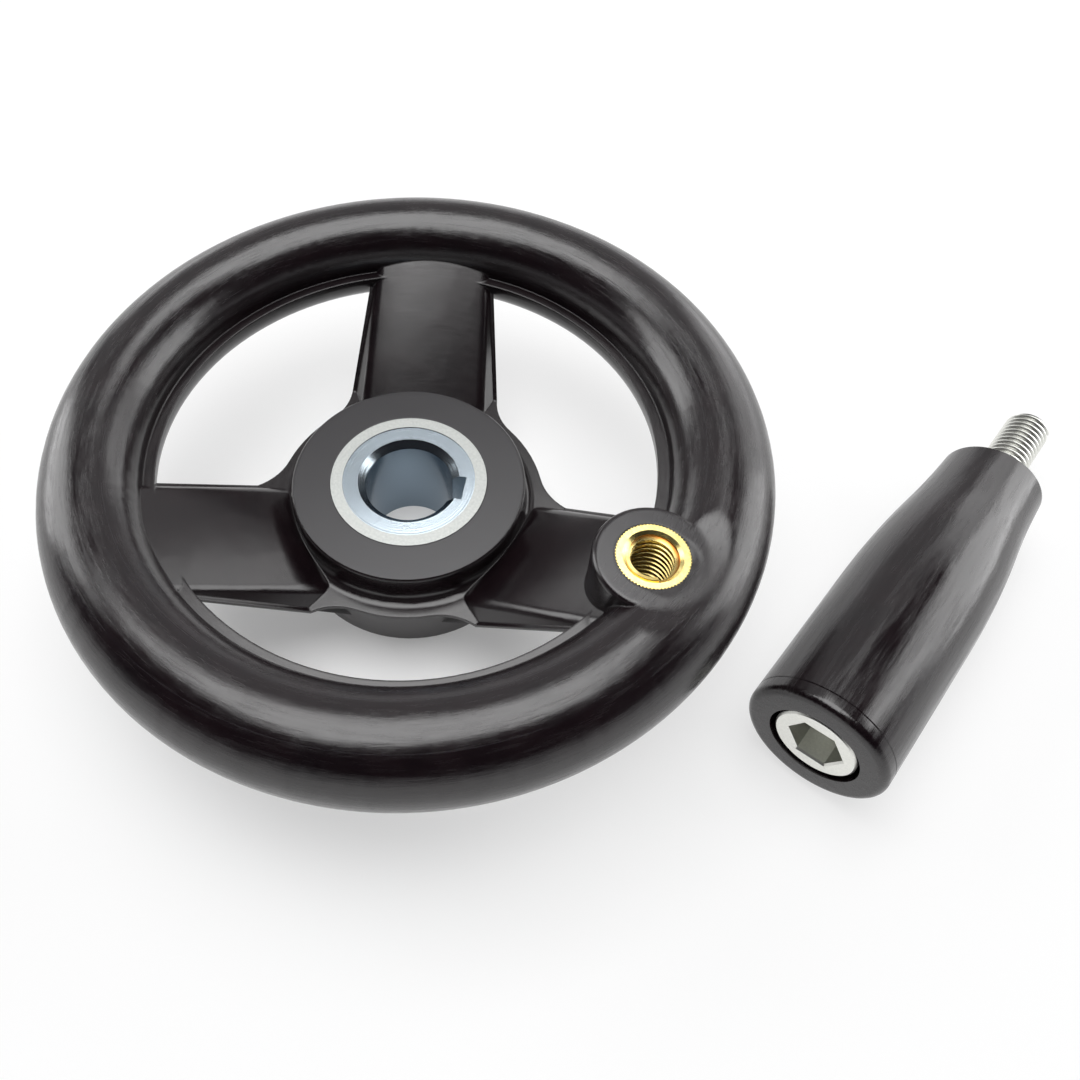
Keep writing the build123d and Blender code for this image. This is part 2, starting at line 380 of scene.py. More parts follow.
at_line = add(
    tree,
    "ShaderNodeMath",
    {"operation": "COMPARE", 1: mould_line_z, 2: mould_line_half},
    {0: (height, "Z")},
)
outside = add(
    tree, "ShaderNodeMath", {"operation": "GREATER_THAN", 1: mould_line_r}, {0: (radius, "Value")}
)
mould_line = add(
    tree, "ShaderNodeMath", {"operation": "MULTIPLY"}, {0: (at_line, 0), 1: (outside, 0)}
)
line_bump = add(
    tree,
    "ShaderNodeBump",
    {"invert": True, "Strength": 1.0, "Distance": 0.12 * MM},
    {"Height": (mould_line, 0), "Normal": (streak_bump, 0)},
)
shader = add(
    tree,
    "ShaderNodeBsdfPrincipled",
    {"IOR": phenolic_ior},
    {"Base Color": (tint, 2), "Roughness": (roughness, 0), "Normal": (line_bump, 0)},
)
add(tree, "ShaderNodeOutputMaterial", links={"Surface": (shader, "BSDF")})
print(phenolic.name, len(tree.nodes), "nodes")

# %% [markdown]
# ## The wheel body
# The body is the CAD moulding itself, because its form is already exact. Its mesh comes as loose
# triangles, so three modifiers get it ready to shade: Weld joins them, Edge Split keeps true
# corners sharp, and Weighted Normal lets large flat faces stay flat where they meet small rounds.

# %% The wheel body
CAD_CORNER = radians(32)
weld_distance = 0.002 * MM


def dress(node, material):
    """Gives a CAD node its material, and shades it smooth except at corners."""
    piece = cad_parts[node]
    piece.data.materials.clear()
    piece.data.materials.append(material)
    weld = piece.modifiers.new("weld", "WELD")
    weld.merge_threshold = weld_distance
    split = piece.modifiers.new("corners", "EDGE_SPLIT")
    split.split_angle = CAD_CORNER
    flats = piece.modifiers.new("flats", "WEIGHTED_NORMAL")
    flats.keep_sharp = True
    print(node, "wears", material.name)


dress("handwheel_body", phenolic)

# %% [markdown]
# ## Zinc-plated steel: turned rings
# The hub bushing is turned from steel bar and zinc plated. Turning leaves fine rings round the
# bore. A noise that reads only the distance to the bore's axis gives rings about 0.25 mm apart,
# some deeper than others, where a wave texture would make them all alike.

# %% Rings and specks of the bushing
ring_spacing = 0.25  # mm
speck_scale = 2.2  # specks per mm
step_r = 12.1
bore_r = 8.1

bushing_steel = new_material("zinc_plated_steel")
tree = bushing_steel.node_tree
place = add(tree, "ShaderNodeTexCoord")
in_mm = add(
    tree, "ShaderNodeVectorMath", {"operation": "SCALE", "Scale": 1 / MM}, {0: (place, "Object")}
)
flat = add(tree, "ShaderNodeVectorMath", {"operation": "MULTIPLY", 1: (1, 1, 0)}, {0: (in_mm, 0)})
radius = add(tree, "ShaderNodeVectorMath", {"operation": "LENGTH"}, {0: (flat, 0)})
ring_place = add(tree, "ShaderNodeCombineXYZ", links={0: (radius, "Value")})
rings = add(
    tree,
    "ShaderNodeTexNoise",
    {"Scale": 1 / ring_spacing, "Detail": 2.0, "Roughness": 0.7},
    {"Vector": (ring_place, 0)},
)
specks = add(
    tree, "ShaderNodeTexNoise", {"Scale": speck_scale, "Detail": 5.0}, {"Vector": (in_mm, 0)}
)
outer_ring = add(
    tree, "ShaderNodeMath", {"operation": "GREATER_THAN", 1: step_r}, {0: (radius, "Value")}
)
in_shaded_bore = add(
    tree, "ShaderNodeMath", {"operation": "LESS_THAN", 1: bore_r}, {0: (radius, "Value")}
)
print("rings", ring_spacing, "mm apart, inside", step_r, "mm")

# %% [markdown]
# ## Zinc-plated steel: colours
# Plating gives steel a cool blue-white sheen. The bore is painted a darker blue than the face, as
# painted shade down in the hole. The flat ring at the outside was pressed against the mould, so it
# is greyer, matt and speckled. Each is a metal, so its colour tints the reflection.

# %% Zinc-plated steel of the bushing
turned_roughness, pressed_roughness = 0.22, 0.5

plated_face = add(
    tree,
    "ShaderNodeMix",
    {"data_type": "RGBA", 6: colour("#95a4b0"), 7: colour("#cdd6dc")},
    {"Factor": (rings, "Fac")},
)
pressed = add(
    tree,
    "ShaderNodeMix",
    {"data_type": "RGBA", 6: colour("#a4a7a6"), 7: colour("#c8cac6")},
    {"Factor": (specks, "Fac")},
)
# Painted shade: inside the bore's radius the steel is given a darker blue.
plated = add(
    tree,
    "ShaderNodeMix",
    {"data_type": "RGBA", 7: colour("#7c8a96")},
    {"Factor": (in_shaded_bore, 0), 6: (plated_face, 2)},
)
metal_tint = add(
    tree,
    "ShaderNodeMix",
    {"data_type": "RGBA"},
    {"Factor": (outer_ring, 0), 6: (plated, 2), 7: (pressed, 2)},
)
metal_roughness = add(
    tree,
    "ShaderNodeMix",
    {"data_type": "FLOAT", 2: turned_roughness, 3: pressed_roughness},
    {"Factor": (outer_ring, 0)},
)
ring_bump = add(
    tree, "ShaderNodeBump", {"Strength": 0.6, "Distance": 0.04 * MM}, {"Height": (rings, "Fac")}
)
speck_bump = add(
    tree,
    "ShaderNodeBump",
    {"Strength": 0.4, "Distance": 0.02 * MM},
    {"Height": (specks, "Fac"), "Normal": (ring_bump, 0)},
)
shader = add(
    tree,
    "ShaderNodeBsdfPrincipled",
    {"Metallic": 1.0},
    {"Base Color": (metal_tint, 2), "Roughness": (metal_roughness, 0), "Normal": (speck_bump, 0)},
)
add(tree, "ShaderNodeOutputMaterial", links={"Surface": (shader, "BSDF")})
dress("hub_bushing", bushing_steel)

# %% [markdown]
# ## Where the handle lies
# The handle's pieces are made upright on the Z axis, which is easy to think about, and then moved
# as one by this matrix. Its numbers are those of the CAD: the centre of the big end, the heading
# of the stud, and the small tilt with which the tapered grip rests on the bench.

# %% Place of the handle
heading = radians(84.0)
lean = radians(2.0)
grip_r = 11.75
grip_straight = 31.5
taper_run, taper_drop = 23.1, 1.45
taper_r = (taper_run**2 + taper_drop**2) / (2 * taper_drop)
rest_height = grip_straight * sin(lean) + grip_r * cos(lean) + taper_r * (1 - cos(lean))
handle_centre = Vector((80.1, -0.7, rest_height))
along = Vector((cos(heading) * cos(lean), sin(heading) * cos(lean), -sin(lean)))
sideways = Vector((-sin(heading), cos(heading), 0))
handle_turn = Matrix((sideways, along.cross(sideways), along)).transposed()
handle_place = Matrix.Translation(handle_centre) @ handle_turn.to_4x4()
print("big end of the grip at", [round(value, 2) for value in handle_centre], "mm")

# %% [markdown]
# ## Turned pieces
# Everything on the handle is round, so each piece is a half outline spun about the Z axis, as on a
# lathe. The first helper draws the outline from a few corners and the second spins it. Merging
# closes the seam.

# %% Turning helpers
STEPS = 96
SAME_POINT = 1e-4  # mm


def chain(bm, corners):
    """A line of edges through corners given as (radius, height). Gives its points."""
    points = [bm.verts.new((r, 0, z)) for r, z in corners]
    for pair in zip(points, points[1:]):
        bm.edges.new(pair)
    return points


def turn(bm):
    """Spins what the bmesh holds once round Z, closes the seam and turns the faces outwards."""
    bmesh.ops.spin(
        bm,
        geom=bm.verts[:] + bm.edges[:],
        cent=(0, 0, 0),
        axis=(0, 0, 1),
        angle=2 * pi,
        steps=STEPS,
        use_merge=True,
    )
    bmesh.ops.remove_doubles(bm, verts=bm.verts, dist=SAME_POINT)
    bmesh.ops.recalc_face_normals(bm, faces=bm.faces)


print("a full turn has", STEPS, "steps")

# %% [markdown]
# ## Rings of edges
# Holes that are not round all the way down, such as a hexagon socket, are built loop by loop. One
# helper lays a ring at a height, and the other pulls a ring along the axis into a wall. Bridging
# two rings then makes the face between them. A boolean would cut the same hole with rougher faces.


# %% Ring helpers
def ring(bm, radius, height, segments, twist=0.0):
    """A loop of edges at a height."""
    known = set(bm.edges)
    placed = Matrix.Translation((0, 0, height)) @ Matrix.Rotation(twist, 4, "Z")
    bmesh.ops.create_circle(bm, segments=segments, radius=radius, matrix=placed)
    return [edge for edge in bm.edges if edge not in known]


def extrude_ring(bm, edges, step, scale=1.0):
    """Extrudes a ring of edges by a step along Z, scales it about the axis, gives its edges."""
    made = bmesh.ops.extrude_edge_only(bm, edges=edges)["geom"]
    ends = [item for item in made if isinstance(item, bmesh.types.BMVert)]
    bmesh.ops.translate(bm, vec=(0, 0, step), verts=ends)
    bmesh.ops.scale(bm, vec=(scale, scale, 1), verts=ends)
    moved = set(ends)
    edges_made = [item for item in made if isinstance(item, bmesh.types.BMEdge)]
    return [edge for edge in edges_made if moved.issuperset(edge.verts)]


print("ring helpers ready")

# %% [markdown]
# ## From bmesh to object
# Each piece is modelled in millimetres and moved to its place at the end, so its object can stay
# at the origin. Edges sharper than 35 degrees keep a hard crease, and the rest shade smooth.

# %% Finishing helper
PIECE_CORNER = radians(35)


def finish_piece(bm, name, material, place):
    """Moves a bmesh in millimetres to its place, and makes a smooth-shaded object of it."""
    bmesh.ops.transform(bm, matrix=Matrix.Scale(MM, 4) @ place, verts=bm.verts)
    for face in bm.faces:
        face.smooth = True
    for edge in bm.edges:
        edge.smooth = len(edge.link_faces) == 2 and edge.calc_face_angle(0) < PIECE_CORNER
    mesh = bpy.data.meshes.new(name)
    bm.to_mesh(mesh)
    bm.free()
    mesh.materials.append(material)
    piece = bpy.data.objects.new(name, mesh)
    scene.collection.objects.link(piece)
    print(name, len(mesh.polygons), "faces")
    return piece


# %% [markdown]
# ## Thread
# A thread is one V-shaped ridge wound round a core. The ridge starts as a single four-sided face
# in section. Spin turns it and, with dvec, lifts it by one pitch a turn, so the face sweeps a
# closed helical ridge with both of its ends capped. Its root runs a little way into the core, so
# that no gap shows. The Screw modifier could wind it too, but it leaves the ends open.

# %% Thread helper
pitch = 1.25
ridge_sink = 0.02
THREAD_STEPS = 48


def wind_ridge(bm, root_r, crest_r, turns, start, crest=0.12, rise=1):
    """Winds a right-hand ridge up, or down with rise -1. crest is a share of the pitch."""
    root_half, crest_half = 0.49 * pitch, crest * pitch
    section = [
        bm.verts.new((root_r, 0, start - root_half)),
        bm.verts.new((root_r, 0, start + root_half)),
        bm.verts.new((crest_r, 0, start + crest_half)),
        bm.verts.new((crest_r, 0, start - crest_half)),
    ]
    face = bm.faces.new(section)
    bmesh.ops.spin(
        bm,
        geom=[face, *face.edges, *section],
        cent=(0, 0, 0),
        axis=(0, 0, 1),
        dvec=(0, 0, rise * pitch / THREAD_STEPS),
        angle=rise * 2 * pi * turns,
        steps=round(THREAD_STEPS * turns),
    )


print("thread pitch", pitch, "mm")

# %% [markdown]
# ## Brass
# The insert is turned brass, pale lemon gold. Down in the thread the roots are painted a darker
# brown: painted shade, warmed like light bounced between brass flanks, so the flat face reads
# brighter. The shade is masked by the distance from the insert's own axis, so a Mapping node first
# centres the pattern there.

# %% Brass
brass_grain = 1.6  # per mm
brass_shade_from_r, brass_shade_full_r = 3.45, 4.0
brass_shade_below_face = 0.6

brass = new_material("turned_brass")
tree = brass.node_tree
place = add(tree, "ShaderNodeTexCoord")
centred = add(
    tree,
    "ShaderNodeMapping",
    {
        "vector_type": "TEXTURE",
        "Location": Vector((boss_centre[0], 0, 0)) * MM,
        "Scale": (MM, MM, MM),
    },
    {"Vector": (place, "Object")},
)
grain = add(
    tree, "ShaderNodeTexNoise", {"Scale": brass_grain, "Detail": 3.0}, {"Vector": (centred, 0)}
)
turned_tint = add(
    tree,
    "ShaderNodeMix",
    {"data_type": "RGBA", 6: colour("#e8cb72"), 7: colour("#f8e9a6")},
    {"Factor": (grain, "Fac")},
)
flat = add(tree, "ShaderNodeVectorMath", {"operation": "MULTIPLY", 1: (1, 1, 0)}, {0: (centred, 0)})
radius = add(tree, "ShaderNodeVectorMath", {"operation": "LENGTH"}, {0: (flat, 0)})
height = add(tree, "ShaderNodeSeparateXYZ", links={0: (centred, 0)})
in_shaded_root = add(
    tree,
    "ShaderNodeMapRange",
    {"From Min": brass_shade_from_r, "From Max": brass_shade_full_r, "To Min": 0.0, "To Max": 1.0},
    {"Value": (radius, "Value")},
)
below_mouth = add(
    tree,
    "ShaderNodeMath",
    {"operation": "LESS_THAN", 1: boss_centre[2] - brass_shade_below_face},
    {0: (height, "Z")},
)
# Painted shade: the thread's roots below the mouth are given a darker brown.
brass_root_shade = add(
    tree, "ShaderNodeMath", {"operation": "MULTIPLY"}, {0: (in_shaded_root, 0), 1: (below_mouth, 0)}
)
brass_tint = add(
    tree,
    "ShaderNodeMix",
    {"data_type": "RGBA", 7: colour("#bd7d35")},
    {"Factor": (brass_root_shade, 0), 6: (turned_tint, 2)},
)
brass_bump = add(
    tree, "ShaderNodeBump", {"Strength": 0.3, "Distance": 0.02 * MM}, {"Height": (grain, "Fac")}
)
shader = add(
    tree,
    "ShaderNodeBsdfPrincipled",
    {"Metallic": 1.0, "Roughness": 0.24},
    {"Base Color": (brass_tint, 2), "Normal": (brass_bump, 0)},
)
add(tree, "ShaderNodeOutputMaterial", links={"Surface": (shader, "BSDF")})
print(brass.name, len(tree.nodes), "nodes")

# %% [markdown]
# ## Brass insert
# The insert is a turned bush whose straight knurl keys it into the moulding. The knurl's teeth
# show round the edge of its face. A circle with every second point drawn in gives the teeth, and
# is then pulled down into the side. The CAD leaves the thread plain, so it is wound here.

# %% Knurled bush
insert_r = 5.8
insert_length = 13.0
knurl_depth = 0.28
knurl_teeth = 66
mouth_r, mouth_depth = 4.65, 0.4
thread_r = 4.1

bm = bmesh.new()
around = 2 * knurl_teeth
outline = bmesh.ops.create_circle(bm, segments=around, radius=insert_r)["verts"]
valleys = [vert for i, vert in enumerate(outline) if i % 2]
valley_scale = (insert_r - knurl_depth) / insert_r
bmesh.ops.scale(bm, vec=(valley_scale, valley_scale, 1), verts=valleys)
outer_top = bm.edges[:]
mouth = ring(bm, mouth_r, 0, around)
throat = ring(bm, thread_r, -mouth_depth, around)
inner_foot = ring(bm, thread_r, -insert_length, around)
bmesh.ops.bridge_loops(bm, edges=outer_top + mouth)
bmesh.ops.bridge_loops(bm, edges=mouth + throat)
bmesh.ops.bridge_loops(bm, edges=throat + inner_foot)
outer_foot = extrude_ring(bm, outer_top, -insert_length)
bmesh.ops.bridge_loops(bm, edges=outer_foot + inner_foot)
bmesh.ops.recalc_face_normals(bm, faces=bm.faces)
print("knurl of", knurl_teeth, "teeth,", len(bm.faces), "faces")

# %% [markdown]
# ## Thread of the insert
# The inner thread is wound downwards from the mouth, with its crest pointing at the axis. It is
# made after the bush, so that its faces can be turned outwards on their own.

# %% Thread of the insert
core_r = 3.45
insert_turns = 9.2
insert_crest = 0.24
thread_top = -mouth_depth - 0.2 * pitch
thread_start = radians(-50)

bush_faces = set(bm.faces)
wind_ridge(
    bm, thread_r + ridge_sink, core_r, insert_turns, thread_top, crest=insert_crest, rise=-1
)
ridge_faces = [face for face in bm.faces if face not in bush_faces]
bmesh.ops.recalc_face_normals(bm, faces=ridge_faces)
insert_place = Matrix.Translation(boss_centre) @ Matrix.Rotation(thread_start, 4, "Z")
insert = finish_piece(bm, "insert_bush", brass, insert_place)
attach(insert, "wheel")
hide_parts("handle_insert")

# %% [markdown]
# ## Spindle steel
# The spindle is turned steel, plated like the bushing but duller, with the satin look of threaded
# fasteners. The thread's roots are painted darker, as painted shade in the grooves. The pattern is
# turned to the handle's own axis, so a root is simply a small radius on the stud.

# %% Plated fastener steel
steel_grain = 0.4  # mm
stud_from = 70.4
stud_shade_full_r, stud_shade_end_r = 3.4, 3.85

spindle_steel = new_material("plated_fastener_steel")
tree = spindle_steel.node_tree
place = add(tree, "ShaderNodeTexCoord")
on_handle = add(
    tree,
    "ShaderNodeMapping",
    {
        "vector_type": "TEXTURE",
        "Location": handle_centre * MM,
        "Rotation": handle_turn.to_euler(),
        "Scale": (MM, MM, MM),
    },
    {"Vector": (place, "Object")},
)
grain = add(
    tree,
    "ShaderNodeTexNoise",
    {"Scale": 1 / steel_grain, "Detail": 4.0},
    {"Vector": (on_handle, 0)},
)
satin_tint = add(
    tree,
    "ShaderNodeMix",
    {"data_type": "RGBA", 6: colour("#dadbd5"), 7: colour("#f6f6f0")},
    {"Factor": (grain, "Fac")},
)
flat = add(
    tree, "ShaderNodeVectorMath", {"operation": "MULTIPLY", 1: (1, 1, 0)}, {0: (on_handle, 0)}
)
radius = add(tree, "ShaderNodeVectorMath", {"operation": "LENGTH"}, {0: (flat, 0)})
height = add(tree, "ShaderNodeSeparateXYZ", links={0: (on_handle, 0)})
on_stud = add(
    tree, "ShaderNodeMath", {"operation": "GREATER_THAN", 1: stud_from}, {0: (height, "Z")}
)
in_shaded_root = add(
    tree,
    "ShaderNodeMapRange",
    {"From Min": stud_shade_full_r, "From Max": stud_shade_end_r, "To Min": 1.0, "To Max": 0.0},
    {"Value": (radius, "Value")},
)
# Painted shade: the stud's thread roots are given a darker grey.
stud_root_shade = add(
    tree, "ShaderNodeMath", {"operation": "MULTIPLY"}, {0: (on_stud, 0), 1: (in_shaded_root, 0)}
)
steel_tint = add(
    tree,
    "ShaderNodeMix",
    {"data_type": "RGBA", 7: colour("#6a6a68")},
    {"Factor": (stud_root_shade, 0), 6: (satin_tint, 2)},
)
steel_bump = add(
    tree, "ShaderNodeBump", {"Strength": 0.3, "Distance": 0.02 * MM}, {"Height": (grain, "Fac")}
)
shader = add(
    tree,
    "ShaderNodeBsdfPrincipled",
    {"Metallic": 1.0, "Roughness": 0.32},
    {"Base Color": (steel_tint, 2), "Normal": (steel_bump, 0)},
)
add(tree, "ShaderNodeOutputMaterial", links={"Surface": (shader, "BSDF")})
print(spindle_steel.name, len(tree.nodes), "nodes")

# %% [markdown]
# ## Spindle: the turned shaft
# The spindle is a shoulder screw: a head with a hexagon socket, a plain shank that the grip turns
# on, and the M8 stud. The shaft is turned from one outline, open at the head's face, where the
# socket will start.

# %% Shaft of the spindle
head_top, head_r, head_edge = 0.3, 6.8, 0.3
head_foot, shank_r = 8.3, 5.0
shoulder, stud_end, stud_r, stud_core_r = 70.3, 89.3, 4.0, 3.3
tip_run, tip_drop = 0.25, 0.35

bm = bmesh.new()
chain(
    bm,
    [
        (head_r - head_edge, head_top),
        (head_r, head_top + head_edge),
        (head_r, head_foot),
        (shank_r, head_foot),
        (shank_r, shoulder),
        (stud_core_r, shoulder),
        (stud_core_r, stud_end - tip_run),
        (stud_core_r - tip_drop, stud_end),
        (0, stud_end),
    ],
)
turn(bm)
print("shaft", round(stud_end - head_top, 1), "mm long,", len(bm.faces), "faces")

# %% [markdown]
# ## Spindle: the hexagon socket
# The socket is built loop by loop. A six-sided ring is subdivided until it has as many points as
# the round ring of the head. Drawn up and a little wider, it is the chamfer at the mouth, and
# drawn down it is the socket's wall. A round ring and a point finish it as the drill left it.

# %% Hexagon socket
hex_flat_r, hex_depth = 4.0, 6.0
hex_mouth_scale, hex_mouth_depth = 1.07, 0.35
hex_turn = radians(23)
drill_r, drill_depth = 3.6, 1.4

hex_corner_r = hex_flat_r / cos(radians(30))
face_edge = [edge for edge in bm.edges if len(edge.link_faces) == 1]
known = set(bm.edges)
hexagon = ring(bm, hex_corner_r, head_top + hex_mouth_depth, 6, hex_turn)
bmesh.ops.subdivide_edges(bm, edges=hexagon, cuts=STEPS // 6 - 1)
hexagon = [edge for edge in bm.edges if edge not in known]
mouth = extrude_ring(bm, hexagon, -hex_mouth_depth, hex_mouth_scale)
bmesh.ops.bridge_loops(bm, edges=face_edge + mouth)
foot = extrude_ring(bm, hexagon, hex_depth - hex_mouth_depth)
drill = ring(bm, drill_r, head_top + hex_depth, STEPS)
bmesh.ops.bridge_loops(bm, edges=foot + drill)
point = extrude_ring(bm, drill, drill_depth)
point_verts = list({vert for edge in point for vert in edge.verts})
point_place = (0, 0, head_top + hex_depth + drill_depth)
bmesh.ops.pointmerge(bm, verts=point_verts, merge_co=point_place)
bmesh.ops.recalc_face_normals(bm, faces=bm.faces)
print("socket", 2 * hex_flat_r, "mm across flats and", hex_depth, "mm deep")

# %% [markdown]
# ## Spindle: the stud's thread
# The stud's thread is wound upwards on its core. It starts and stops a little short of the
# shoulder and the tip, as a real one does where the die runs out.

# %% Thread of the stud
thread_from_shoulder = 0.9
thread_short_of_stud = 2.2

shaft_faces = set(bm.faces)
stud_turns = (stud_end - shoulder - thread_short_of_stud) / pitch
wind_ridge(bm, stud_core_r - ridge_sink, stud_r, stud_turns, shoulder + thread_from_shoulder)
ridge_faces = [face for face in bm.faces if face not in shaft_faces]
bmesh.ops.recalc_face_normals(bm, faces=ridge_faces)
spindle = finish_piece(bm, "spindle_screw", spindle_steel, handle_place)
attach(spindle, "wheel")
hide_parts("handle_spindle")

# %% [markdown]
# ## Grip phenolic
# The grip is the same phenolic, buffed lengthwise on a belt. Its noise is stretched along the
# handle, so its coordinates are first turned to the handle's own axis by a Mapping node. The
# wheel's material would run the streaks round the wheel instead.

# %% Buffed phenolic of the grip
belt_scale = 0.9  # streaks per mm across the grip
belt_stretch = 0.08  # and this share of that along it

grip_phenolic = new_material("phenolic_grip")
tree = grip_phenolic.node_tree
place = add(tree, "ShaderNodeTexCoord")
on_handle = add(
    tree,
    "ShaderNodeMapping",
    {
        "vector_type": "TEXTURE",
        "Location": handle_centre * MM,
        "Rotation": handle_turn.to_euler(),
        "Scale": (MM, MM, MM),
    },
    {"Vector": (place, "Object")},
)
stretched = add(
    tree,
    "ShaderNodeVectorMath",
    {"operation": "MULTIPLY", 1: (1, 1, belt_stretch)},
    {0: (on_handle, 0)},
)
streaks = add(
    tree,
    "ShaderNodeTexNoise",
    {"Scale": belt_scale, "Detail": 4.0, "Roughness": 0.65},
    {"Vector": (stretched, 0)},
)
waves = add(
    tree, "ShaderNodeTexNoise", {"Scale": 1 / wave_size, "Detail": 2.0}, {"Vector": (on_handle, 0)}
)
tint = add(
    tree,
    "ShaderNodeMix",
    {"data_type": "RGBA", 6: phenolic_dark, 7: phenolic_brown},
    {"Factor": (waves, "Fac")},
)
roughness = add(
    tree,
    "ShaderNodeMapRange",
    {"From Min": streak_low, "From Max": streak_high, "To Min": gloss, "To Max": worn_gloss},
    {"Value": (streaks, "Fac")},
)
wave_bump = add(
    tree, "ShaderNodeBump", {"Strength": 0.5, "Distance": 0.05 * MM}, {"Height": (waves, "Fac")}
)
streak_bump = add(
    tree,
    "ShaderNodeBump",
    {"Strength": 1.0, "Distance": 0.045 * MM},
    {"Height": (streaks, "Fac"), "Normal": (wave_bump, 0)},
)
shader = add(
    tree,
    "ShaderNodeBsdfPrincipled",
    {"IOR": phenolic_ior},
    {"Base Color": (tint, 2), "Roughness": (roughness, 0), "Normal": (streak_bump, 0)},
)
add(tree, "ShaderNodeOutputMaterial", links={"Surface": (shader, "BSDF")})
print(grip_phenolic.name, len(tree.nodes), "nodes")

# %% [markdown]
# ## Grip: the big end
# The grip's outline starts in the bore, steps out for the screw's head and rounds the big end. A
# round is also a spin: one point turned about the arc's centre. The thin ring just behind it is
# the mark of the mould's joint, cut as a real groove because it shows in outline.

# %% Big end of the grip
grip_len, tip_r, tip_edge = 70.0, 9.1, 0.6
waist_at, waist_r = 54.6, 10.3
edge_r = 1.4
seam_at, seam_w, seam_d = 3.0, 0.24, 0.12
bore_clear, counterbore_r, counterbore_foot = 5.1, 7.5, 8.6
edge_steps, belly_steps, hollow_steps = 8, 12, 10


def arc(bm, start, centre, angle, steps):
    """Adds an arc from a point, turned about a centre, and gives its last point."""
    result = bmesh.ops.spin(
        bm,
        geom=[start],
        cent=(centre[0], 0, centre[1]),
        axis=(0, -1, 0),
        angle=angle,
        steps=steps,
    )
    return next(item for item in result["geom_last"] if isinstance(item, bmesh.types.BMVert))


bm = bmesh.new()
points = chain(
    bm,
    [
        (bore_clear, grip_len),
        (bore_clear, counterbore_foot),
        (counterbore_r, counterbore_foot),
        (counterbore_r, 0),
        (grip_r - edge_r, 0),
    ],
)
rounded = arc(bm, points[-1], (grip_r - edge_r, edge_r), radians(90), edge_steps)
seam_points = chain(
    bm,
    [
        (grip_r, seam_at - seam_w / 2),
        (grip_r - seam_d, seam_at),
        (grip_r, seam_at + seam_w / 2),
        (grip_r, grip_straight),
    ],
)
bm.edges.new((rounded, seam_points[0]))
print("outline of the big end has", len(bm.verts), "points")

# %% [markdown]
# ## Grip: belly and hollow
# The long belly is one arc. The hollow behind the small end is a second arc that leaves the first
# on its tangent, so that light runs over the join without a break. Its radius follows from the
# two ends and that tangent, and turning the whole outline makes the grip.

# %% Belly and hollow of the grip
belly_turn = asin(taper_run / taper_r)
belly_centre = (grip_r - taper_r, grip_straight)
belly_end = arc(bm, seam_points[-1], belly_centre, belly_turn, belly_steps)
slope = Vector((-sin(belly_turn), cos(belly_turn)))
waist = Vector((waist_r, waist_at))
chord = Vector((tip_r, grip_len - tip_edge)) - waist
across = Vector((slope.y, -slope.x))
hollow_r = chord.length_squared / (2 * chord.dot(across))
hollow_turn = 2 * asin(chord.length / (2 * hollow_r))
hollow_centre = waist + across * hollow_r
hollow_end = arc(bm, belly_end, hollow_centre, -hollow_turn, hollow_steps)
tip_points = chain(bm, [(tip_r - tip_edge, grip_len), (bore_clear, grip_len)])
bm.edges.new((hollow_end, tip_points[0]))
print("belly radius", round(taper_r, 1), "mm, hollow radius", round(hollow_r, 1), "mm")
turn(bm)
grip = finish_piece(bm, "revolving_grip", grip_phenolic, handle_place)
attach(grip, "grip")
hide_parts("handle_grip")

# %% [markdown]
# ## Bench
# The wheel stands on a plain surface large enough to fill every view. It is one flat face, and it
# is not part of the object.

# %% Bench
bench_half = 3.0  # metres

floor_mesh = bpy.data.meshes.new("bench")
bm = bmesh.new()
bmesh.ops.create_grid(bm, x_segments=1, y_segments=1, size=bench_half)
bm.to_mesh(floor_mesh)
bm.free()
bench = bpy.data.objects.new("bench", floor_mesh)
scene.collection.objects.link(bench)
print("bench", 2 * bench_half, "m wide")

# %% [markdown]
# ## White paper
# The bench is covered in matt white paper. A share of plain white is mixed in where the camera, a
# reflection or glass sees it, so that it looks white without stronger lamps, which would flatten
# the gloss. The share is smaller under the wheel's near side, which paints a deeper shadow there.

# %% White paper
shade_centre = Vector((2, -16, 0)) * MM
shade_from, shade_to = 22 * MM, 60 * MM
shade_share, open_share = 0.25, 0.66

paper = new_material("white_paper")
tree = paper.node_tree
matt = add(tree, "ShaderNodeBsdfDiffuse", {"Color": colour("#f4f4f4")})
white = add(tree, "ShaderNodeEmission", {"Color": colour("#ffffff"), "Strength": 1.0})
ray = add(tree, "ShaderNodeLightPath")
seen_or_mirrored = add(
    tree,
    "ShaderNodeMath",
    {"operation": "MAXIMUM"},
    {0: (ray, "Is Camera Ray"), 1: (ray, "Is Glossy Ray")},
)
seen = add(
    tree,
    "ShaderNodeMath",
    {"operation": "MAXIMUM"},
    {0: (seen_or_mirrored, 0), 1: (ray, "Is Transmission Ray")},
)
place = add(tree, "ShaderNodeTexCoord")
from_shade = add(
    tree,
    "ShaderNodeVectorMath",
    {"operation": "DISTANCE", 1: shade_centre},
    {0: (place, "Object")},
)
# Painted shadow: less white under the wheel's near side darkens the paper there.
white_share = add(
    tree,
    "ShaderNodeMapRange",
    {
        "interpolation_type": "SMOOTHSTEP",
        "From Min": shade_from,
        "From Max": shade_to,
        "To Min": shade_share,
        "To Max": open_share,
    },
    {"Value": (from_shade, "Value")},
)
share = add(
    tree, "ShaderNodeMath", {"operation": "MULTIPLY"}, {0: (seen, 0), 1: (white_share, 0)}
)
shader = add(tree, "ShaderNodeMixShader", links={0: (share, 0), 1: (matt, 0), 2: (white, 0)})
add(tree, "ShaderNodeOutputMaterial", links={"Surface": (shader, 0)})
floor_mesh.materials.append(paper)
print(paper.name, len(tree.nodes), "nodes")

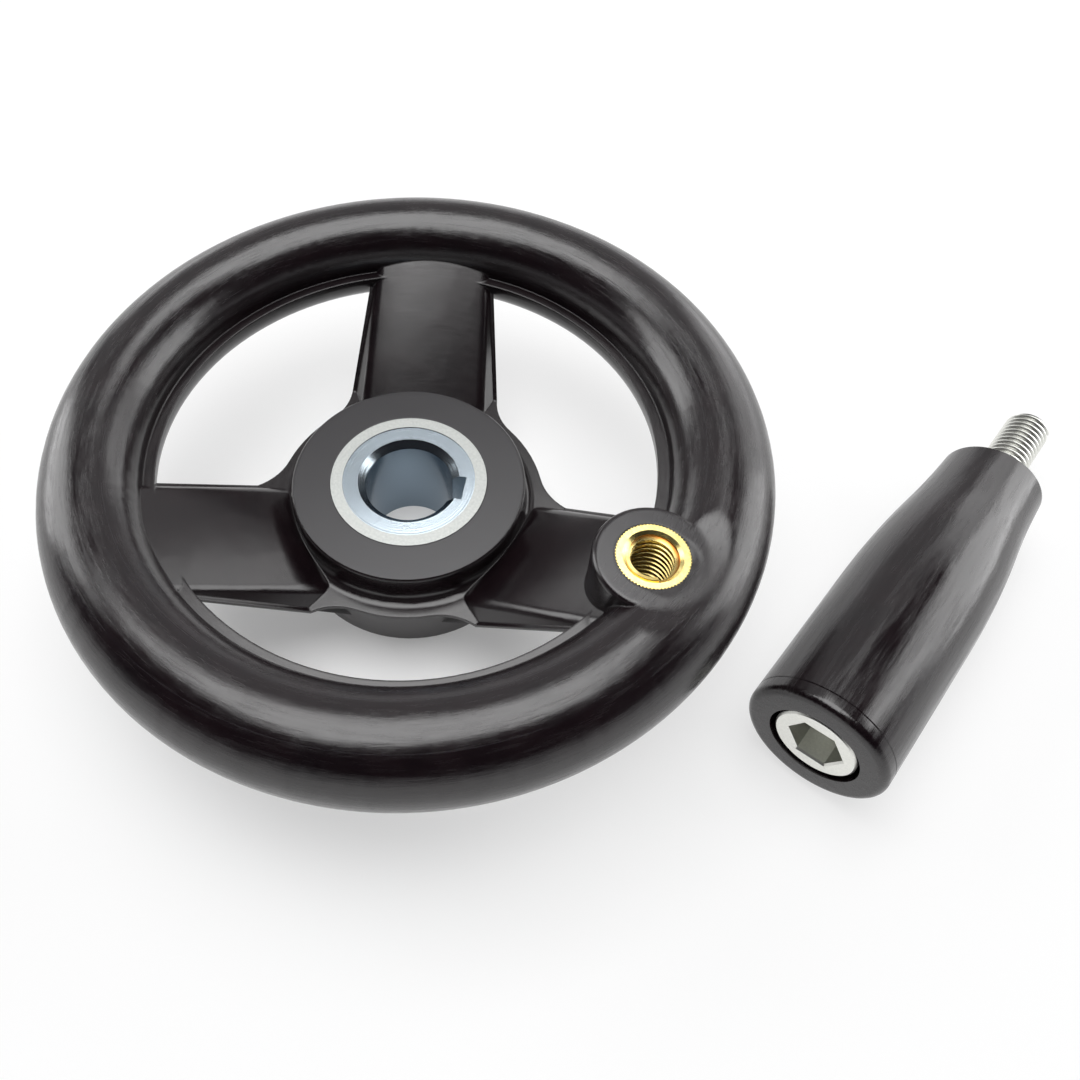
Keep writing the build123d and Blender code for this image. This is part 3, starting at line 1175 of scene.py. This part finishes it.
# %% [markdown]
# ## Room
# Black gloss shows the room, not the lamps' power. So the room is planned by what the rim should
# mirror: pale walls low down all round, and dark above. The walls are the world, pale at the
# horizon and dark overhead. Modelled walls would do the same and cost more to render.

# %% Room
wall_fade_from, wall_fade_to = 0.08, 0.24  # height of a direction, from 0 level to 1 overhead

world = bpy.data.worlds.new("studio")
scene.world = world
world.use_nodes = True
tree = world.node_tree
tree.nodes.clear()
place = add(tree, "ShaderNodeTexCoord")
direction = add(tree, "ShaderNodeSeparateXYZ", links={0: (place, "Generated")})
low = add(
    tree,
    "ShaderNodeMapRange",
    {
        "interpolation_type": "SMOOTHSTEP",
        "From Min": wall_fade_from,
        "From Max": wall_fade_to,
        "To Min": 1.0,
        "To Max": 0.0,
    },
    {"Value": (direction, "Z")},
)
wall = add(
    tree,
    "ShaderNodeMix",
    {"data_type": "RGBA", 6: colour("#1c1c20"), 7: colour("#d6d6d8")},
    {"Factor": (low, 0)},
)
background = add(tree, "ShaderNodeBackground", {"Strength": 1.0}, {"Color": (wall, 2)})
add(tree, "ShaderNodeOutputWorld", links={"Surface": (background, 0)})
print(world.name, len(tree.nodes), "nodes")

# %% [markdown]
# ## Lamps
# Each lamp is a panel that the gloss mirrors: a soft window low on the left with a small one beside
# it, another window behind on the right with a dimmer curtain, a softbox high overhead, and a wide
# dim reflector at the back. Point lamps would show only as dots. A panel is set by its direction
# and its size as seen from the wheel, so it can be placed straight from the highlight it makes.

# %% Lamps
LAMP_DISTANCE = 1.2  # metres
reflector_distance = 1.6


def softbox(name, azimuth, elevation, width, height, radiance, distance=LAMP_DISTANCE):
    """A rectangular lamp facing the wheel. Sizes are angles in degrees, seen from the wheel."""
    lamp_data = bpy.data.lights.new(name, "AREA")
    lamp_data.shape = "RECTANGLE"
    lamp_data.size = 2 * distance * tan(radians(width / 2))
    lamp_data.size_y = 2 * distance * tan(radians(height / 2))
    lamp_data.energy = radiance * pi * lamp_data.size * lamp_data.size_y
    lamp = bpy.data.objects.new(name, lamp_data)
    scene.collection.objects.link(lamp)
    turn_z, rise = radians(azimuth), radians(elevation)
    out = Vector((cos(turn_z) * cos(rise), sin(turn_z) * cos(rise), sin(rise)))
    lamp.location = out * distance
    lamp.rotation_mode = "QUATERNION"
    lamp.rotation_quaternion = out.to_track_quat("Z", "Y")
    lamp.visible_camera = False
    print(name, round(lamp_data.energy, 2), "W")


softbox("window_left", azimuth=-170, elevation=22, width=26, height=44, radiance=3.6)
softbox("gap_left", azimuth=155, elevation=8, width=16, height=12, radiance=1.4)
softbox("window_right", azimuth=46, elevation=18, width=30, height=44, radiance=3.4)
softbox("curtain_right", azimuth=78, elevation=20, width=30, height=40, radiance=1.5)
softbox("softbox_high", azimuth=145, elevation=83, width=46, height=46, radiance=4.2)
softbox(
    "reflector_back",
    azimuth=122,
    elevation=26,
    width=84,
    height=56,
    radiance=0.45,
    distance=reflector_distance,
)
